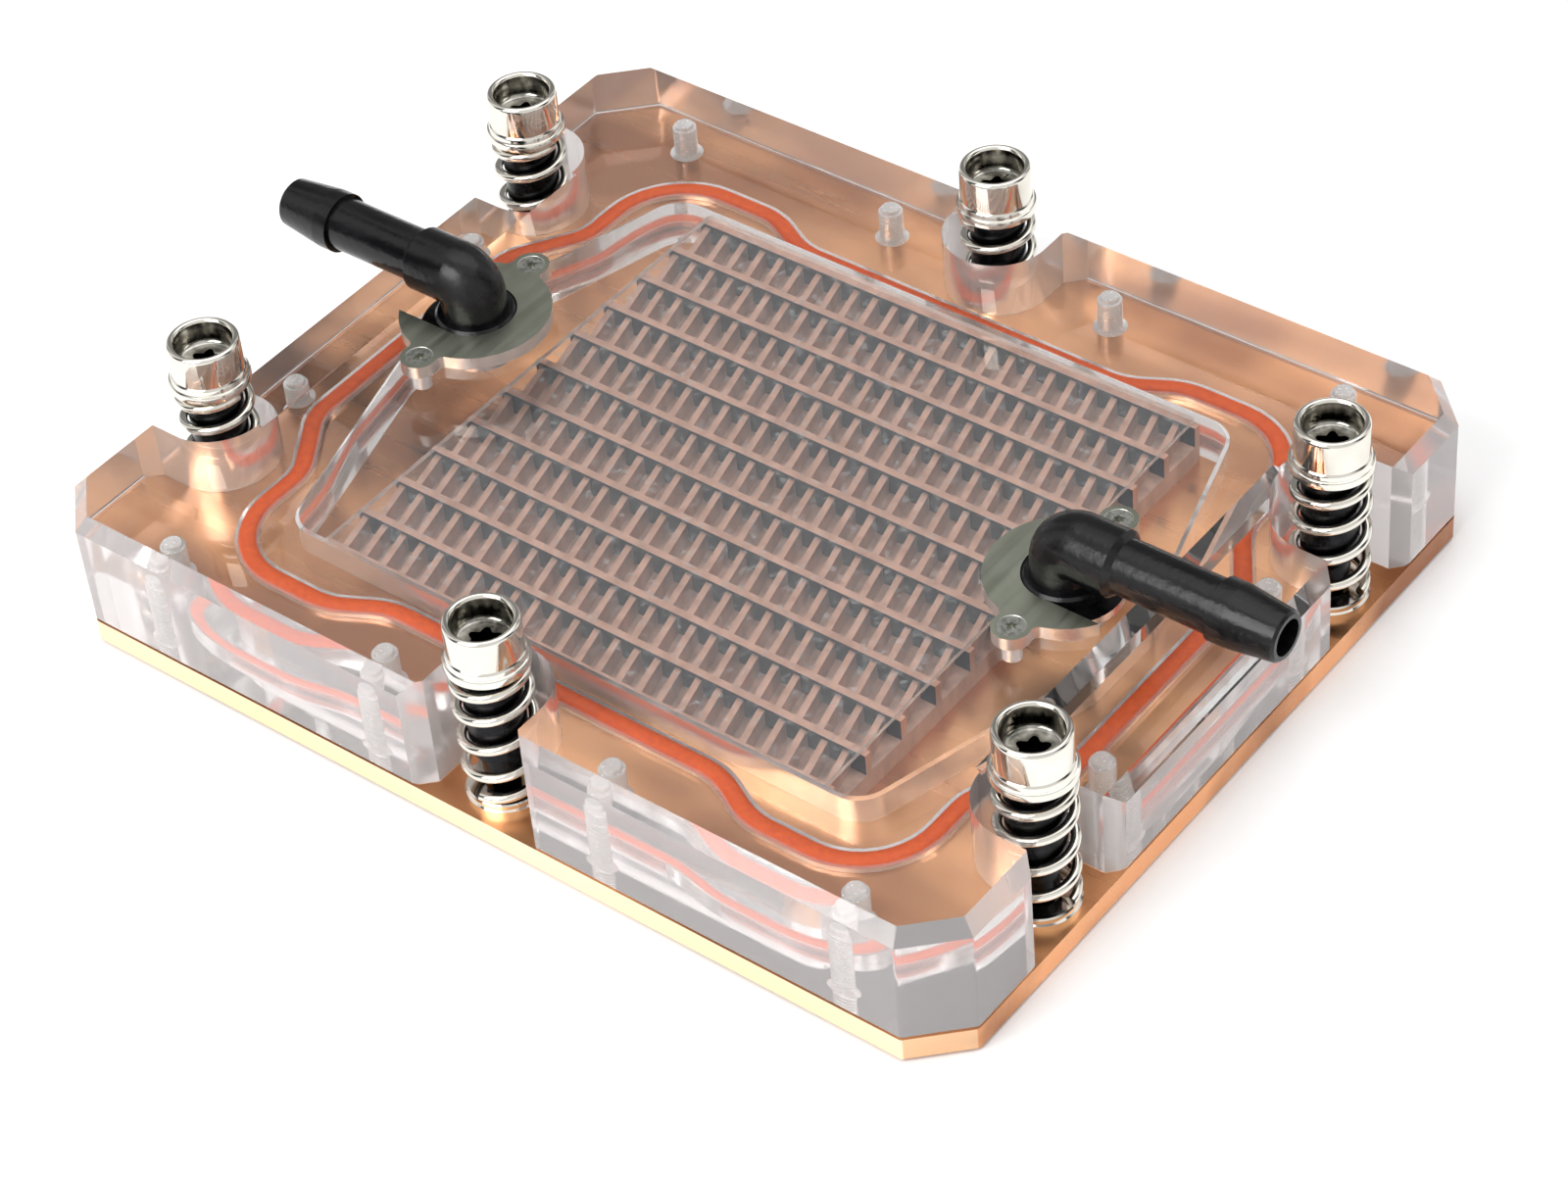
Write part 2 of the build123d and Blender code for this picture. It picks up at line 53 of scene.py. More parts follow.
# Sizes of the part, in mm, as the solids have them
HALF_L = 59.0
HALF_W = 49.0
PLATE_T = 3.0
CORNER_CUT = 5.4
COVER_TOP = 17.2
TOP_BEVEL = 1.5
FOOT_BEVEL = 0.4
CORNER_ROUND = 0.5
LEDGE_X = 48.5
LEDGE_Z = 13.8
COVER_GAP = 0.04
SEAL_GAP = 0.02
CELL_FLOOR_Z = 5.6
FIN_TOP_Z = 7.4

# Round-ended notches with the spring screws: four at the short sides, two in the long ones
NOTCH_R = 6.3
NOTCH_X = 54.0
NOTCH_Y = 26.5
MIDDLE_NOTCH_Y = 43.6
MOUTH_BEVEL = 1.6
NOTCHES = [
    (-NOTCH_X, -NOTCH_Y, 180), (-NOTCH_X, NOTCH_Y, 180), (0, MIDDLE_NOTCH_Y, 90),
    (NOTCH_X, NOTCH_Y, 0), (0, -MIDDLE_NOTCH_Y, 270), (NOTCH_X, -NOTCH_Y, 0),
]

# Water cavity, seal and sheet
CAVITY_TOP = 9.0
CAVITY_ROUND = 0.4
CAVITY_CORNER = (38.0, 33.5, 4.0)
HEADER_CORNER = (46.3, 5.0, 7.0)
GASKET_END_X = 49.8
GASKET_END_Y = 16.55
GASKET_WAIST_X = 44.5
GASKET_WAIST_Y = 24.5
GASKET_SIDE_Y = 38.7
GASKET_MIDDLE_Y = 35.5
GASKET_STEP = (22.0, 28.0)
GASKET_END_R = 6.0
GASKET_SIDE_R = 8.95
GASKET_HALF_W = 1.0
GASKET_TOP = 4.44
GASKET_EASE = 0.35
GROOVE_HALF_W = 1.35
GROOVE_TOP = 4.15
SHEET_HALF_L = 33.1
SHEET_HALF_W = 32.9
SHEET_ROUND = 0.3
SHEET_LOW = 8.02
SHEET_TOP = 8.6

# Ports with the elbows' flanges, and the clips' screws beside them
ELBOW_X = 39.3
PORT_R = 4.05
PORT_LOW = CAVITY_TOP - 0.5
FLANGE_SEAT_R = 6.25
FLANGE_SEAT_Z = 15.5
PILOT_R = 1.05
PILOT_LOW = 12.2
PILOT_Y = 9.5

# Tapped blind holes of the cover screws
HOLE_R = 1.4
HOLE_MOUTH_R = 2.0
HOLE_MOUTH_H = 0.6
THREAD_CREST_R = 1.25
THREAD_START = 0.8
THREAD_HALF = 0.11
THREAD_PITCH = 0.45
THREAD_END = 10.2
HOLE_END = [(HOLE_R, 10.6), (1.1, 10.8), (1.1, 11.5), (0.95, 11.7), (0, 11.7)]
LONG_ROW_X = (15.0, 45.0)
LONG_ROW_Y = 43.5
SIDE_SCREW_X = 53.8
SIDE_SCREW_Y = 15.0
COVER_SCREWS = [(sx * x, sy * LONG_ROW_Y) for sx in (-1, 1) for sy in (-1, 1) for x in LONG_ROW_X]
COVER_SCREWS += [(sx * SIDE_SCREW_X, sy * SIDE_SCREW_Y) for sx in (-1, 1) for sy in (-1, 1)]

# Spring screws
SEAT_TOP = 4.2
SKIRT_BOTTOM = 20.7
CAP_TOP = 26.4
SPRING_R = 4.35
WIRE_R = 0.55
SPRING_TURNS = 4.5
END_CLOSENESS = 0.035
RECESS_R = 3.15
RECESS_DEPTH = 3.0
STAR_R = 1.62
STAR_LOBE = 0.3
STAR_DEPTH = 1.4

# Where the cutters of the cover start and end, past its faces
CUT_LOW = 2.0
CUT_TOP = 19.0
PORT_CUT_TOP = 18.0
CUT_PAST = 1.0


# Materials


class Look:
    """A procedural material: one Principled shader and the nodes that feed it."""

    def __init__(self, name, **sockets):
        self.mat = bpy.data.materials.new(name)
        self.mat.use_nodes = True
        self.tree = self.mat.node_tree
        self.shader = self.tree.nodes["Principled BSDF"]
        self.places = self.tree.nodes.new("ShaderNodeTexCoord").outputs
        for key, value in sockets.items():
            self.shader.inputs[key.replace("_", " ")].default_value = value

    def noise(self, scale, stretch=(1, 1, 1), detail=3.0):
        """Noise in the part's own frame; scale is waves per mm, stretched along the axes."""
        place = self.tree.nodes.new("ShaderNodeMapping")
        place.inputs["Scale"].default_value = [scale / MM / s for s in stretch]
        self.tree.links.new(self.places["Object"], place.inputs["Vector"])
        tex = self.tree.nodes.new("ShaderNodeTexNoise")
        tex.inputs["Scale"].default_value = 1.0
        tex.inputs["Detail"].default_value = detail
        self.tree.links.new(place.outputs["Vector"], tex.inputs["Vector"])
        return tex.outputs["Fac"]

    def blend(self, value, low, high, start=0.3, end=0.7):
        """Colour, or grey from a plain number, that goes from low to high between two values."""
        node = self.tree.nodes.new("ShaderNodeValToRGB")
        stops = zip(node.color_ramp.elements, (start, end), (low, high))
        for element, position, colour in stops:
            rgb = colour if isinstance(colour, tuple) else (colour,) * 3
            element.position = position
            element.color = (*rgb, 1)
        self.tree.links.new(value, node.inputs["Fac"])
        return node.outputs["Color"]

    def facing(self, axis, sign):
        """Share that is 1 on surfaces that look along an axis of the part's own frame."""
        split = self.tree.nodes.new("ShaderNodeSeparateXYZ")
        turned = self.tree.nodes.new("ShaderNodeMath")
        turned.operation = "MULTIPLY"
        turned.use_clamp = True
        turned.inputs[1].default_value = sign
        self.tree.links.new(self.places["Normal"], split.inputs["Vector"])
        self.tree.links.new(split.outputs[axis], turned.inputs[0])
        return self.blend(turned.outputs[0], 0.0, 1.0, 0.6, 0.9)

    def height(self, low, high):
        """Height in the part's own frame, from 0 at low mm to 1 at high mm."""
        split = self.tree.nodes.new("ShaderNodeSeparateXYZ")
        span = self.tree.nodes.new("ShaderNodeMapRange")
        span.inputs["From Min"].default_value = low * MM
        span.inputs["From Max"].default_value = high * MM
        self.tree.links.new(self.places["Object"], split.inputs["Vector"])
        self.tree.links.new(split.outputs["Z"], span.inputs["Value"])
        return span.outputs["Result"]

    def mix(self, share, first, second):
        """Colour that goes from first to second with share."""
        return mix_colours(self.tree, share, first, second)

    def feed(self, socket, value):
        self.tree.links.new(value, self.shader.inputs[socket])

    def colour(self, value, low, high, start=0.3, end=0.7):
        self.feed("Base Color", self.blend(value, low, high, start, end))

    def rough(self, value, low, high):
        self.feed("Roughness", self.blend(value, low, high))

    def bump(self, value, depth):
        """Raises the surface by depth mm where the value is 1."""
        node = self.tree.nodes.new("ShaderNodeBump")
        node.inputs["Strength"].default_value = 1.0
        node.inputs["Distance"].default_value = depth * MM
        self.tree.links.new(value, node.inputs["Height"])
        self.feed("Normal", node.outputs["Normal"])


def mix_colours(tree, share, first, second):
    """Mix node between two sockets or plain colours."""
    node = tree.nodes.new("ShaderNodeMix")
    node.data_type = "RGBA"
    tree.links.new(share, node.inputs[0])
    for socket, value in ((6, first), (7, second)):
        if isinstance(value, tuple):
            node.inputs[socket].default_value = value
        else:
            tree.links.new(value, node.inputs[socket])
    return node.outputs[2]


def copper():
    """Satin copper with brownish clouds; its faces towards −Y are painted a pale cream, a painted highlight
    of the key lamp on the front edge.
    """
    look = Look("copper", Metallic=1.0, Roughness=0.4)
    brushing = look.noise(0.35, (60, 1, 1), 4)
    clouds = look.noise(0.04, (2, 1, 1))
    face = look.blend(clouds, (0.40, 0.165, 0.072), (0.98, 0.50, 0.245), 0.40, 0.58)
    # Pale cream for the faces towards −Y: painted highlight of the key lamp, not the copper's own colour.
    edge = look.blend(clouds, (1.0, 0.82, 0.55), (1.0, 0.90, 0.66))
    look.feed("Base Color", look.mix(look.facing("Y", -1.0), face, edge))
    look.rough(brushing, 0.22, 0.42)
    look.bump(brushing, 0.015)
    return look.mat


def fin_copper():
    """Pinkish tops and fins; floors and rib sides are painted light and shade: a greyer floor tone by
    height, and near-black blue-grey rib sides facing −Y.
    """
    look = Look("fin_copper", Metallic=0.7, Roughness=0.45)
    clouds = look.noise(0.5, (1, 1, 3), 4)
    height = look.height(CELL_FLOOR_Z, FIN_TOP_Z)
    # Floors get their own greyer tone by height: painted light, set to make up for the light that the deep
    # cells lack.
    painted_floors = look.blend(clouds, (0.48, 0.30, 0.23), (0.78, 0.52, 0.42))
    tops = look.blend(clouds, (0.58, 0.32, 0.23), (0.82, 0.50, 0.38))
    # Rib sides facing −Y: a near-black blue-grey painted shade of the deep cell walls.
    sides = look.blend(clouds, (0.005, 0.012, 0.04), (0.012, 0.026, 0.07))
    plain = look.mix(height, painted_floors, tops)
    look.feed("Base Color", look.mix(look.facing("Y", -1.0), plain, sides))
    look.feed("Metallic", look.blend(height, 0.15, 0.7, 0.1, 0.9))
    look.rough(clouds, 0.32, 0.5)
    look.bump(clouds, 0.06)
    return look.mat


def acrylic(name, clear, rough, scale=0.05, stretch=(1, 1, 1), depth=0.0, warm=1.0):
    """Clear plastic: clear is the share of light that goes through, the rest is a milky veil."""
    look = Look(name, Roughness=rough[1], IOR=1.49, Transmission_Weight=clear)
    waves = look.noise(scale, stretch)
    look.colour(waves, (0.96, 0.96 * warm, 0.95 * warm), (0.98, 0.98 * warm, 0.975 * warm))
    look.rough(waves, *rough)
    if depth:
        look.bump(waves, depth)
    return look.mat


def thin_sheet():
    """Thin clear sheet, seen through without bending: a faint veil with a few whitish specks."""
    look = Look("clear_sheet", Roughness=0.05, Alpha=0.08)
    clouds = look.noise(0.1)
    specks = look.noise(0.9, detail=6)
    look.colour(clouds, (0.74, 0.77, 0.80), (0.84, 0.86, 0.87))
    look.feed("Alpha", look.blend(specks, 0.045, 0.30, 0.58, 0.72))
    look.rough(clouds, 0.03, 0.09)
    return look.mat


def silicone():
    """Soft orange seal."""
    look = Look("orange_silicone", Roughness=0.5)
    grain = look.noise(1.5, detail=4)
    look.colour(grain, (0.82, 0.095, 0.004), (0.94, 0.13, 0.006))
    look.rough(grain, 0.4, 0.6)
    look.bump(grain, 0.03)
    return look.mat


def black_plastic():
    """Moulded plastic with glossy and dull patches."""
    look = Look("black_plastic", Roughness=0.35, Specular_IOR_Level=0.38)
    grain = look.noise(1.2, detail=5)
    patches = look.noise(0.5, (5, 1, 1), 5)
    look.colour(patches, (0.002, 0.002, 0.0025), (0.005, 0.005, 0.006))
    look.rough(patches, 0.10, 0.42)
    look.bump(grain, 0.05)
    return look.mat


def black_rubber():
    """Rubber of the elbows' seal rings."""
    look = Look("black_rubber", Roughness=0.6)
    grain = look.noise(2.0, detail=4)
    look.colour(grain, (0.012, 0.012, 0.012), (0.022, 0.022, 0.022))
    look.rough(grain, 0.5, 0.7)
    return look.mat


def clip_steel():
    """Brushed greenish steel; its sides, all but the faces towards +Z, are painted near white as a painted
    highlight along the edges.
    """
    look = Look("clip_steel", Metallic=1.0, Roughness=0.35)
    brushing = look.noise(1.2, (1, 25, 1))
    clouds = look.noise(0.12)
    face = look.blend(clouds, (0.34, 0.355, 0.285), (0.48, 0.50, 0.41))
    # Near white for all faces but those towards +Z: painted highlight along the clip's edges.
    edge = look.blend(clouds, (0.78, 0.76, 0.72), (0.90, 0.89, 0.86))
    look.feed("Base Color", look.mix(look.facing("Z", 1.0), edge, face))
    look.rough(brushing, 0.30, 0.40)
    look.bump(brushing, 0.002)
    return look.mat


def metal(name, scale, low, high, rough, plain_rough, start=0.3, end=0.7):
    """Plain metal whose colour and gloss change a little along its surface."""
    look = Look(name, Metallic=1.0, Roughness=plain_rough)
    clouds = look.noise(scale)
    look.colour(clouds, low, high, start, end)
    look.rough(clouds, *rough)
    return look.mat


looks = {
    "copper": copper(),
    "fin_copper": fin_copper(),
    "clear_sheet": thin_sheet(),
    "clear_acrylic": acrylic("clear_acrylic", 0.985, (0.0, 0.03)),
    "orange_silicone": silicone(),
    "steel": metal("steel", 2.0, (0.46, 0.47, 0.42), (0.62, 0.62, 0.57), (0.22, 0.38), 0.3),
    "clip_steel": clip_steel(),
    "black_plastic": black_plastic(),
    "black_rubber": black_rubber(),
    "nickel": metal("nickel", 0.3, (0.78, 0.74, 0.66), (0.88, 0.85, 0.78), (0.05, 0.12), 0.08),
    "black_steel": metal("black_steel", 0.5, (0.010, 0.010, 0.011), (0.03, 0.03, 0.033), (0.18, 0.32), 0.25),
}
# Darker copy of the nickel for the cap's recess: painted shade, as the recess is the same nickel as the cap.
recess_shade_look = metal(
    "nickel_recess_shade", 0.5, (0.12, 0.115, 0.10), (0.55, 0.53, 0.48), (0.08, 0.18), 0.2, 0.35, 0.65)
tapped_look = acrylic("tapped_acrylic", 0.5, (0.12, 0.3), 3.0, (1, 1, 0.3), 0.02)
milled_look = acrylic("milled_acrylic", 0.8, (0.1, 0.25), 0.8, (1, 1, 6), 0.01)
sawn_look = acrylic("sawn_acrylic", 0.7, (0.10, 0.22), 0.8, (1, 1, 6), 0.005, 0.95)
side_look = acrylic("edge_acrylic", 0.73, (0.05, 0.14), 0.6, (1, 1, 4), 0.01, 0.95)
bevel_look = acrylic("bevel_acrylic", 0.76, (0.05, 0.14), 0.6, (1, 1, 1), 0.01, 0.95)

for sub in frame["record"]["subparts"]:
    node_mesh = nodes[sub["node"]].data
    node_mesh.materials.clear()
    node_mesh.materials.append(looks[sub["material_slot"]])


# Loops: closed lists of points in mm


def loop_round(points, radii, steps=8):
    """Corner points, counter-clockwise, each with a round of its own, as a dense loop."""
    out = []
    count = len(points)
    for i in range(count):
        p = Vector(points[i])
        a = (Vector(points[i - 1]) - p).normalized()
        b = (Vector(points[(i + 1) % count]) - p).normalized()
        half = a.angle(b) / 2
        reach = radii[i] / tan(half)
        centre = p + (a + b).normalized() * (radii[i] / sin(half))
        first = p + a * reach - centre
        last = p + b * reach - centre
        turn = first.angle_signed(last)
        for k in range(steps + 1):
            t = -turn * k / steps
            out.append((
                centre.x + first.x * cos(t) - first.y * sin(t),
                centre.y + first.x * sin(t) + first.y * cos(t),
            ))
    return out


def offset_loop(loop, amount):
    """Dense loop moved outwards by amount along its own normals."""
    out = []
    count = len(loop)
    for i in range(count):
        back = Vector(loop[i - 1])
        ahead = Vector(loop[(i + 1) % count])
        along = (ahead - back).normalized()
        out.append((loop[i][0] + along.y * amount, loop[i][1] - along.x * amount))
    return out


def turned_loop(loop, centre, turn):
    """Loop turned by turn degrees and moved to centre."""
    a = radians(turn)
    return [(centre[0] + x * cos(a) - y * sin(a), centre[1] + x * sin(a) + y * cos(a)) for x, y in loop]


def four_way(quarter, steps):
    """Corners (x, y, round) of one quarter, mirrored into a closed dense loop."""
    pts = [(x, y) for x, y, r in quarter]
    radii = [r for x, y, r in quarter]
    loop = list(pts)
    loop += [(-x, y) for x, y in reversed(pts)]
    loop += [(-x, -y) for x, y in pts]
    loop += [(x, -y) for x, y in reversed(pts)]
    return loop_round(loop, radii + radii[::-1] + radii + radii[::-1], steps)


# Meshes


def from_bmesh(name, bm, mat):
    """Object from a bmesh, which is used up."""
    mesh = bpy.data.meshes.new(name)
    bm.to_mesh(mesh)
    bm.free()
    obj = bpy.data.objects.new(name, mesh)
    bpy.context.collection.objects.link(obj)
    mesh.materials.append(mat)
    return obj


def add_ring(bm, points):
    """Vertices from points (x, y, z) in mm."""
    return [bm.verts.new((x * MM, y * MM, z * MM)) for x, y, z in points]


def add_strip(bm, first, second):
    """Faces between two closed rings of equal length."""
    for i in range(len(first)):
        j = (i + 1) % len(first)
        bm.faces.new((first[i], first[j], second[j], second[i]))


def stack(name, rings, mat):
    """Closed mesh from loops of equal length, each (loop, z), bottom to top."""
    bm = bmesh.new()
    levels = [add_ring(bm, [(x, y, z) for x, y in loop]) for loop, z in rings]
    for low, high in zip(levels, levels[1:]):
        add_strip(bm, low, high)
    bm.faces.new(levels[0][::-1])
    bm.faces.new(levels[-1])
    return from_bmesh(name, bm, mat)


def prism(name, loop, z0, z1, mat):
    """Straight solid over a loop."""
    return stack(name, [(loop, z0), (loop, z1)], mat)


def band(name, inner, outer, z0, z1, mat, edge=0.0):
    """Closed ring of rectangular section between two loops, with its long edges eased."""
    bm = bmesh.new()
    if edge:
        path = [(inner, 0, z0 + edge), (inner, edge, z0), (outer, -edge, z0), (outer, 0, z0 + edge),
                (outer, 0, z1 - edge), (outer, -edge, z1), (inner, edge, z1), (inner, 0, z1 - edge)]
    else:
        path = [(inner, 0, z0), (outer, 0, z0), (outer, 0, z1), (inner, 0, z1)]
    rows = []
    for loop, ease, z in path:
        if ease:
            loop = offset_loop(loop, ease)
        rows.append(add_ring(bm, [(x, y, z) for x, y in loop]))
    for k in range(len(rows)):
        add_strip(bm, rows[k], rows[(k + 1) % len(rows)])
    bmesh.ops.recalc_face_normals(bm, faces=bm.faces)
    return from_bmesh(name, bm, mat)


def lathe(name, profile, mat, centre, segments):
    """Solid turned about Z from (radius, height) corners, which start and end on the axis."""
    bm = bmesh.new()
    rows = []
    for r, z in profile:
        if r == 0:
            rows.append(add_ring(bm, [(*centre, z)]))
            continue
        ring = []
        for k in range(segments):
            a = 2 * pi * k / segments
            ring.append((centre[0] + r * cos(a), centre[1] + r * sin(a), z))
        rows.append(add_ring(bm, ring))
    for a, b in zip(rows, rows[1:]):
        if len(a) > 1 and len(b) > 1:
            add_strip(bm, a, b)
            continue
        for k in range(segments):
            n = (k + 1) % segments
            if len(a) == 1:
                bm.faces.new((a[0], b[k], b[n]))
            else:
                bm.faces.new((a[k], b[0], a[n]))
    bmesh.ops.recalc_face_normals(bm, faces=bm.faces)
    return from_bmesh(name, bm, mat)


def join(name, objs):
    """One mesh from several."""
    bm = bmesh.new()
    mat = objs[0].data.materials[0]
    for obj in objs:
        part = obj.data.copy()
        part.transform(obj.matrix_world)
        bm.from_mesh(part)
        bpy.data.meshes.remove(part)
        bpy.data.objects.remove(obj)
    return from_bmesh(name, bm, mat)


def cut(obj, cutters):
    """Takes the cutters out of obj; each leaves its own material on the faces that it makes."""
    for cutter in cutters:
        mod = obj.modifiers.new("cut", "BOOLEAN")
        mod.operation = "DIFFERENCE"
        mod.solver = "EXACT"
        mod.object = cutter
        mod.material_mode = "TRANSFER"
    bpy.context.view_layer.update()
    graph = bpy.context.evaluated_depsgraph_get()
    done = bpy.data.meshes.new_from_object(obj.evaluated_get(graph))
    obj.modifiers.clear()
    obj.data = done
    for cutter in cutters:
        bpy.data.objects.remove(cutter)


def smooth(obj, angle=30):
    """Smooth shading, with edges sharper than angle degrees kept sharp."""
    obj.data.shade_smooth()
    obj.data.set_sharp_from_angle(angle=radians(angle))


# Clear cover


def cover_outline(inset):
    """Rectangle with cut corners, inset evenly from the cover's sides."""
    x = HALF_L - inset
    y = HALF_W - inset
    c = CORNER_CUT - inset * (2 - sqrt(2))
    corners = [
        (x, -y + c), (x, y - c), (x - c, y), (-x + c, y),
        (-x, y - c), (-x, -y + c), (-x + c, -y), (x - c, -y),
    ]
    return loop_round(corners, [CORNER_ROUND] * 8, 3)


def cover_body():
    """Block without cuts; its sides and bevel are a little frosted, its top is polished."""
    body = stack("clear_cover", [
        (cover_outline(FOOT_BEVEL), PLATE_T + COVER_GAP),
        (cover_outline(0.0), PLATE_T + FOOT_BEVEL),
        (cover_outline(0.0), COVER_TOP - TOP_BEVEL),
        (cover_outline(TOP_BEVEL), COVER_TOP),
    ], looks["clear_acrylic"])
    body.data.materials.append(side_look)
    body.data.materials.append(bevel_look)
    for face in body.data.polygons:
        slope = abs(face.normal.z)
        face.material_index = 0 if slope > 0.9 else 1 if slope < 0.3 else 2
    return body


def notch_loop():
    """Round-ended slot open towards +X, with bevelled mouth corners."""
    bevel_x = HALF_L - NOTCH_X - MOUTH_BEVEL
    reach = 8.0
    wide = NOTCH_R + reach - bevel_x
    steps = 32
    loop = [(reach, -wide), (reach, wide), (bevel_x, NOTCH_R)]
    for k in range(steps + 1):
        a = pi / 2 + pi * k / steps
        loop.append((NOTCH_R * cos(a), NOTCH_R * sin(a)))
    loop.append((bevel_x, -NOTCH_R))
    return loop


def notch_cutters():
    out = []
    for x, y, turn in NOTCHES:
        loop = turned_loop(notch_loop(), (x, y), turn)
        out.append(prism("notch", loop, CUT_LOW, CUT_TOP, sawn_look))
    return out


def ledge_cutters():
    """Lowered ledge with a bevelled step at each short side, between the notches."""
    section = [
        (LEDGE_X - TOP_BEVEL, COVER_TOP), (LEDGE_X, COVER_TOP - TOP_BEVEL), (LEDGE_X, LEDGE_Z),
        (HALF_L - TOP_BEVEL, LEDGE_Z), (HALF_L + CUT_PAST, LEDGE_Z - TOP_BEVEL - CUT_PAST),
        (HALF_L + CUT_PAST, CUT_TOP), (LEDGE_X - TOP_BEVEL, CUT_TOP),
    ]
    out = []
    for side in (-1, 1):
        bm = bmesh.new()
        rows = [add_ring(bm, [(side * x, y, z) for x, z in section]) for y in (-NOTCH_Y, NOTCH_Y)]
        add_strip(bm, *rows)
        bm.faces.new(rows[0])
        bm.faces.new(rows[1][::-1])
        bmesh.ops.recalc_face_normals(bm, faces=bm.faces)
        out.append(from_bmesh("ledge", bm, looks["clear_acrylic"]))
    return out


def cavity_cutter():
    """Water cavity with a header at each end; its ceiling is polished."""
    wall = four_way([HEADER_CORNER, CAVITY_CORNER], 8)
    cavity = stack("cavity", [
        (wall, CUT_LOW),
        (wall, CAVITY_TOP - CAVITY_ROUND),
        (offset_loop(wall, -CAVITY_ROUND), CAVITY_TOP),
    ], milled_look)
    cavity.data.materials.append(looks["clear_acrylic"])
    for face in cavity.data.polygons:
        face.material_index = int(face.normal.z > 0.9)
    return cavity


def gasket_loop():
    """Middle line of the seal, which steps round every notch."""
    return four_way([
        (GASKET_END_X, GASKET_END_Y, GASKET_END_R),
        (GASKET_WAIST_X, GASKET_WAIST_Y, GASKET_END_R),
        (GASKET_WAIST_X, GASKET_SIDE_Y, GASKET_SIDE_R),
        (GASKET_STEP[1], GASKET_SIDE_Y, GASKET_SIDE_R),
        (GASKET_STEP[0], GASKET_MIDDLE_Y, GASKET_SIDE_R),
    ], 10)


def groove_cutter():
    """Groove with a wall on each side of the seal, whose top is pressed into the plastic."""
    line = gasket_loop()
    inner = offset_loop(line, -GROOVE_HALF_W)
    outer = offset_loop(line, GROOVE_HALF_W)
    return band("groove", inner, outer, CUT_LOW, GROOVE_TOP, milled_look)


def port_cutters():
    """Ports from the headers up, with a wider seat for the elbow's flange."""
    profile = [
        (0, PORT_LOW), (PORT_R, PORT_LOW), (PORT_R, FLANGE_SEAT_Z),
        (FLANGE_SEAT_R, FLANGE_SEAT_Z), (FLANGE_SEAT_R, PORT_CUT_TOP), (0, PORT_CUT_TOP),
    ]
    return [lathe("port", profile, milled_look, (side * ELBOW_X, 0), 64) for side in (-1, 1)]


def hole_cutters():
    """Blind holes from below with a countersunk mouth, thread ridges and a stepped end."""
    profile = [(0, CUT_LOW), (HOLE_MOUTH_R, CUT_LOW), (HOLE_MOUTH_R, PLATE_T)]
    profile.append((HOLE_R, PLATE_T + HOLE_MOUTH_H))
    z = PLATE_T + THREAD_START
    while z < THREAD_END:
        profile += [(HOLE_R, z), (THREAD_CREST_R, z + THREAD_HALF), (HOLE_R, z + 2 * THREAD_HALF)]
        z += THREAD_PITCH
    profile += HOLE_END
    return [lathe("hole", profile, tapped_look, place, 32) for place in COVER_SCREWS]


def pilot_cutters():
    """Holes of the clips' screws."""
    profile = [(0, PILOT_LOW), (PILOT_R, PILOT_LOW), (PILOT_R, PORT_CUT_TOP), (0, PORT_CUT_TOP)]
    places = [(sx * ELBOW_X, sy * PILOT_Y) for sx in (-1, 1) for sy in (-1, 1)]
    return [lathe("pilot", profile, tapped_look, place, 24) for place in places]


def clear_cover():
    body = cover_body()
    cut(body, [
        join("notches", notch_cutters()),
        join("ledges", ledge_cutters()),
        cavity_cutter(),
        groove_cutter(),
        join("ports", port_cutters()),
        join("holes", hole_cutters()),
        join("pilots", pilot_cutters()),
    ])
    smooth(body, 25)
    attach(body, "plate")
    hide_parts("cover")


# Seal and sheet


def orange_gasket():
    line = gasket_loop()
    inner = offset_loop(line, -GASKET_HALF_W)
    outer = offset_loop(line, GASKET_HALF_W)
    low = PLATE_T + SEAL_GAP
    obj = band("orange_gasket", inner, outer, low, GASKET_TOP, looks["orange_silicone"], GASKET_EASE)
    smooth(obj, 50)
    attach(obj, "plate")
    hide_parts("gasket")


def clear_sheet():
    """Sheet on the ribs; its cut edges are frosted."""
    x, y = SHEET_HALF_L, SHEET_HALF_W
    loop = loop_round([(x, -y), (x, y), (-x, y), (-x, -y)], [SHEET_ROUND] * 4, 3)
    obj = prism("clear_sheet", loop, SHEET_LOW, SHEET_TOP, looks["clear_sheet"])
    obj.data.materials.append(tapped_look)
    for face in obj.data.polygons:
        face.material_index = int(abs(face.normal.z) < 0.5)
    smooth(obj)
    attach(obj, "plate")
    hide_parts("core_sheet")


# Spring screws


def spring(index, x, y, turn):
    """Round-wire compression spring; its end turns lie closer."""
    bm = bmesh.new()
    mean = SPRING_R - WIRE_R
    low = SEAT_TOP + WIRE_R
    high = SKIRT_BOTTOM - WIRE_R
    steps_a_turn = 48
    steps = int(SPRING_TURNS * steps_a_turn)
    sides = 14
    rows = []
    for k in range(steps + 1):
        t = k / steps
        z = low + (high - low) * (t - END_CLOSENESS * sin(2 * pi * t))
        a = radians(turn) + 2 * pi * SPRING_TURNS * t
        ring = []
        for m in range(sides):
            b = 2 * pi * m / sides
            r = mean + WIRE_R * cos(b)
            ring.append((x + r * cos(a), y + r * sin(a), z + WIRE_R * sin(b)))
        rows.append(add_ring(bm, ring))
    for first, second in zip(rows, rows[1:]):
        add_strip(bm, first, second)
    bm.faces.new(rows[0])
    bm.faces.new(rows[-1][::-1])
    bmesh.ops.recalc_face_normals(bm, faces=bm.faces)
    obj = from_bmesh("spring_%d" % index, bm, looks["nickel"])
    smooth(obj, 60)
    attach(obj, "plate")
    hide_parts("mount_spring_%d" % index)
    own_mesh(obj)


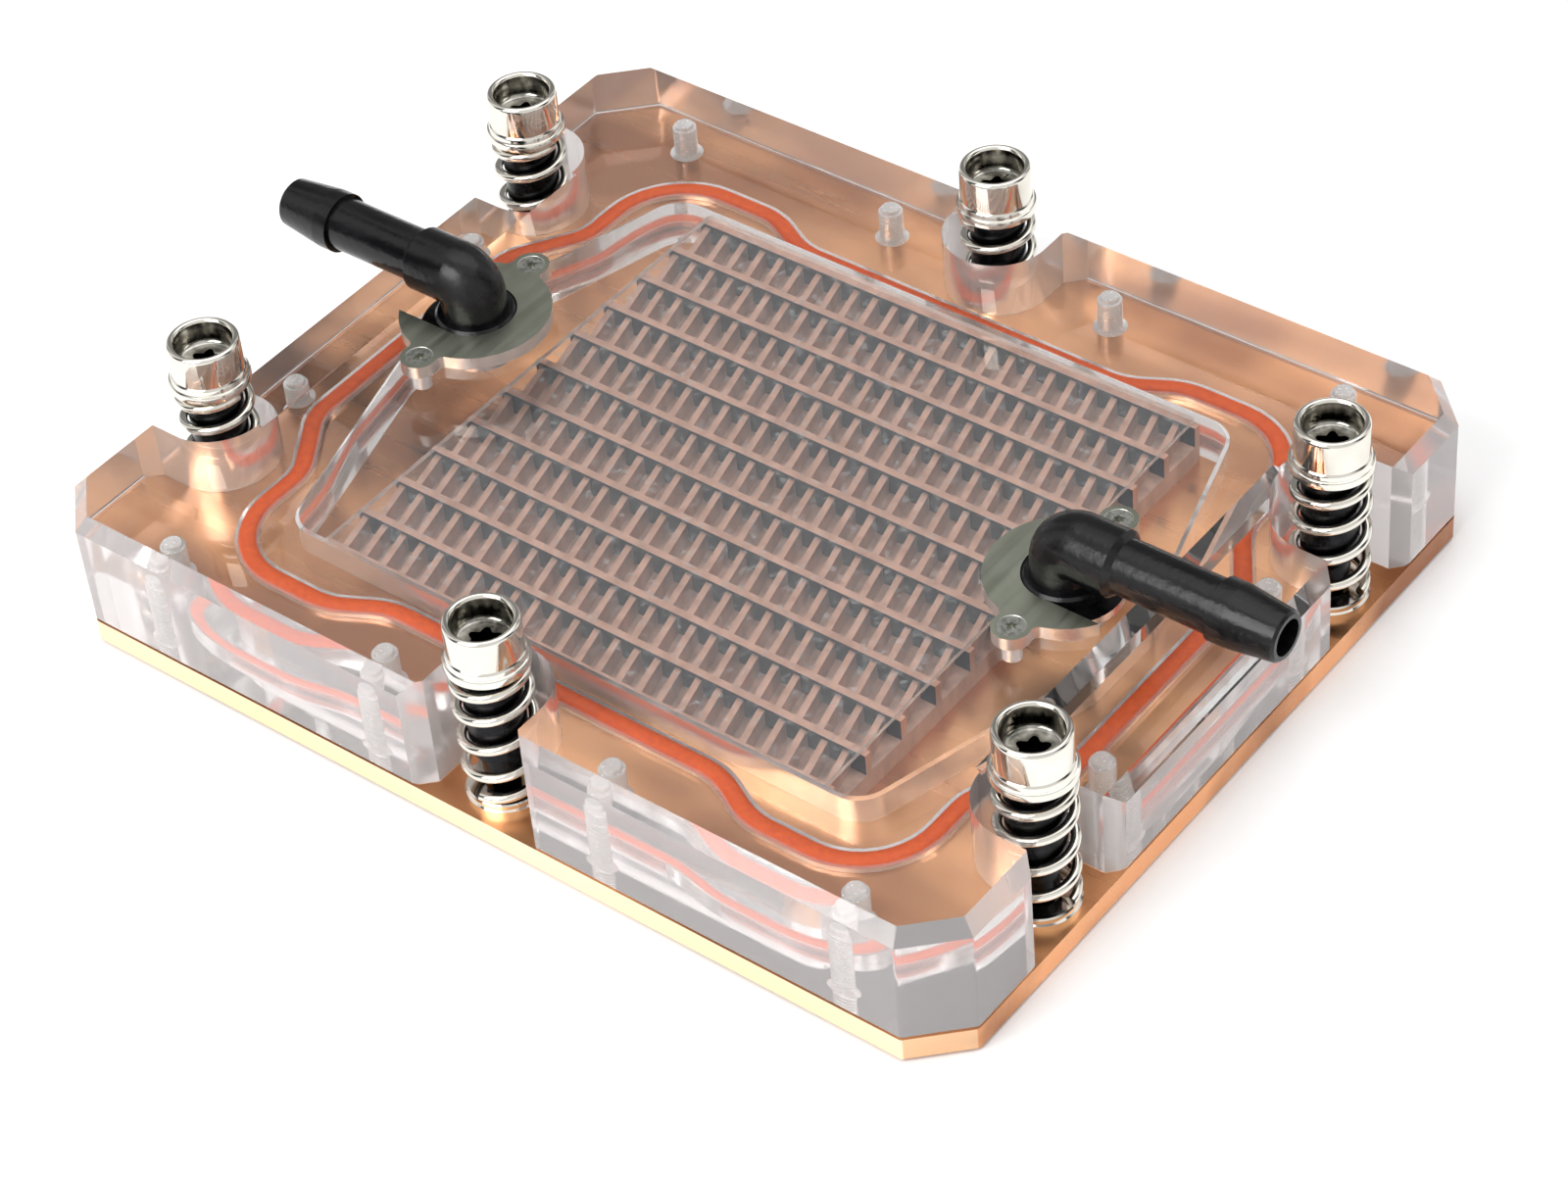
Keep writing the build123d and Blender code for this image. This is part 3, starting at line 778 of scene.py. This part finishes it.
def cap(index, x, y):
    """Bright cap: rounded rim, deep recess with a ledge, six-lobe socket and two-step skirt."""
    skirt = [
        (0, 0), (4.35, 0), (4.5, 0.15), (4.5, 0.85), (4.4, 1.0), (4.25, 1.05), (4.2, 1.15),
        (4.2, 1.55), (4.1, 1.7), (4.0, 1.8),
    ]
    rim = [
        (4.0, 0.5), (3.93, 0.22), (3.75, 0.06), (3.55, 0), (3.4, 0.04), (3.22, 0.2), (RECESS_R, 0.4),
    ]
    recess = [(RECESS_R, 2.5), (3.0, 2.8), (2.7, RECESS_DEPTH), (0, RECESS_DEPTH)]
    profile = [(r, SKIRT_BOTTOM + above) for r, above in skirt]
    profile += [(r, CAP_TOP - below) for r, below in rim + recess]
    body = lathe("cap_%d" % index, profile, looks["nickel"], (x, y), 72)
    body.data.materials.append(recess_shade_look)
    floor_z = CAP_TOP - RECESS_DEPTH
    # Recess walls and floor take the darker nickel: painted shade in the recess.
    for face in body.data.polygons:
        middle = face.center / MM
        inner = (middle - Vector((x, y, middle.z))).length < RECESS_R + 0.01
        face.material_index = int(inner and floor_z - 0.1 < middle.z < CAP_TOP - 0.5)
    star = []
    steps = 72
    for k in range(steps):
        a = 2 * pi * k / steps
        r = STAR_R + STAR_LOBE * cos(6 * a)
        star.append((x + r * cos(a), y + r * sin(a)))
    # The socket's walls take the black steel look: painted shade in the socket of the nickel cap.
    socket = prism("socket", star, floor_z - STAR_DEPTH, floor_z + CUT_PAST, looks["black_steel"])
    cut(body, [socket])
    smooth(body, 35)
    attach(body, "screw_%d" % index)
    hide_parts("screw_cap_%d" % index)


# Stage


def floor():
    """White floor just under the part."""
    bm = bmesh.new()
    bmesh.ops.create_grid(bm, x_segments=1, y_segments=1, size=3.0)
    look = Look("floor", Base_Color=(0.9, 0.9, 0.9, 1), Roughness=0.9)
    obj = from_bmesh("floor", bm, look.mat)
    obj.location.z = -0.2 * MM


def area_light(name, place, size, power):
    """Square lamp of a size in metres that looks at the origin."""
    data = bpy.data.lights.new(name, "AREA")
    data.shape = "RECTANGLE"
    data.size = size
    data.size_y = size
    data.energy = power
    obj = bpy.data.objects.new(name, data)
    bpy.context.collection.objects.link(obj)
    obj.location = place
    obj.rotation_euler = (-Vector(place)).to_track_quat("-Z", "Y").to_euler()


def room():
    """Soft grey room with dark and bright zones for metal, and white for the camera and clear parts."""
    world = bpy.data.worlds.new("world")
    bpy.context.scene.world = world
    world.use_nodes = True
    tree = world.node_tree
    back = tree.nodes["Background"]
    back.inputs["Strength"].default_value = 0.9
    coords = tree.nodes.new("ShaderNodeTexCoord").outputs["Generated"]

    def along(direction, stops):
        """Grey ramp over the cosine between the view and the direction, from -1 to 1."""
        dot = tree.nodes.new("ShaderNodeVectorMath")
        dot.operation = "DOT_PRODUCT"
        dot.inputs[1].default_value = direction
        tree.links.new(coords, dot.inputs[0])
        half = tree.nodes.new("ShaderNodeMath")
        half.operation = "MULTIPLY_ADD"
        half.inputs[1].default_value = 0.5
        half.inputs[2].default_value = 0.5
        tree.links.new(dot.outputs["Value"], half.inputs[0])
        node = tree.nodes.new("ShaderNodeValToRGB")
        ramp = node.color_ramp
        while len(ramp.elements) < len(stops):
            ramp.elements.new(0.5)
        for element, (position, grey) in zip(ramp.elements, stops):
            element.position = position
            element.color = (grey, grey, grey, 1)
        tree.links.new(half.outputs[0], node.inputs["Fac"])
        return node.outputs["Color"]

    up = (0, 0, 1)
    across = (-0.6, 0.75, 0.28)
    soft = along(up, [(0.4, 0.5), (0.85, 0.9)])
    zones = along(across, [
        (0.3, 0.9), (0.42, 0.05), (0.52, 0.08), (0.6, 1.0),
        (0.74, 0.9), (0.8, 0.1), (0.87, 0.8), (0.93, 0.25),
    ])
    through = along(up, [(0.45, 0.95), (0.85, 1.0)])
    white = (1.25, 1.25, 1.25, 1)
    paths = tree.nodes.new("ShaderNodeLightPath").outputs
    light = mix_colours(tree, paths["Is Glossy Ray"], soft, zones)
    light = mix_colours(tree, paths["Is Transmission Ray"], light, through)
    light = mix_colours(tree, paths["Is Camera Ray"], light, white)
    tree.links.new(light, back.inputs["Color"])


def camera():
    """Camera fitted to the photograph, with its place in metres and its focal length in pixels."""
    place = (0.22113, -0.25060, 0.29996)
    az, el, roll = radians(41.22), radians(42.23), radians(-5.55)
    focal_px = 4233.6
    photo_w = 1600
    sensor = 36.0
    back = Vector((sin(az) * cos(el), -cos(az) * cos(el), sin(el)))
    right = Vector((cos(az), sin(az), 0))
    up = back.cross(right)
    rolled_right = cos(roll) * right + sin(roll) * up
    rolled_up = -sin(roll) * right + cos(roll) * up
    data = bpy.data.cameras.new("camera")
    data.sensor_width = sensor
    data.lens = focal_px / photo_w * sensor
    data.clip_start = 0.01
    data.clip_end = 20
    obj = bpy.data.objects.new("camera", data)
    bpy.context.collection.objects.link(obj)
    turned = Matrix((rolled_right, rolled_up, back)).transposed().to_4x4()
    turned.translation = Vector(place)
    obj.matrix_world = turned
    bpy.context.scene.camera = obj


clear_cover()
orange_gasket()
clear_sheet()
for number, (notch_x, notch_y, opening) in enumerate(NOTCHES, 1):
    spring(number, notch_x, notch_y, opening)
    cap(number, notch_x, notch_y)

floor()
area_light("key", (-0.08, -0.6, 0.5), 0.5, 4)
area_light("top", (0.1, 0.1, 0.8), 1.0, 3)
room()
camera()
bpy.context.scene.view_settings.view_transform = "Standard"
